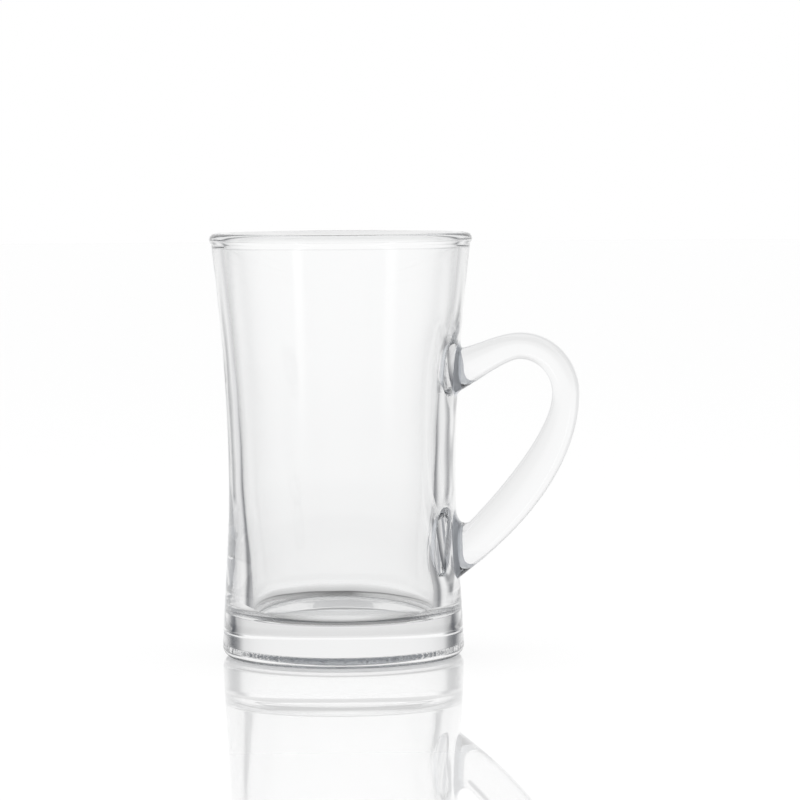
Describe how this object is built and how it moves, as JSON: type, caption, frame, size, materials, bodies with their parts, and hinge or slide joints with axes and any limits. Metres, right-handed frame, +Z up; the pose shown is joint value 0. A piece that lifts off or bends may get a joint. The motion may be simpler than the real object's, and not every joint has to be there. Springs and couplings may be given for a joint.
{
  "type": "beer glass",
  "caption": "Clear waisted glass mug with a thick base, a rounded rim and an ear-shaped glass handle fused to the wall, for drinking beer.",
  "frame": {"origin": "middle of the flat underside, on the bowl's axis", "axes": "+Z up along the bowl's axis, +X out along the handle, +Y across it"},
  "size_m": [0.1143, 0.0812, 0.131],
  "materials": {
    "bowl_glass": "clear, fire polished",
    "handle_glass": "clear, fire polished",
    "weld_glass": "clear, fused, slightly wavy"
  },
  "bodies": {
    "root": {"bowl": "bowl_glass", "handle": "handle_glass", "upper_handle_weld": "weld_glass", "lower_handle_weld": "weld_glass"}
  },
  "joints": []
}
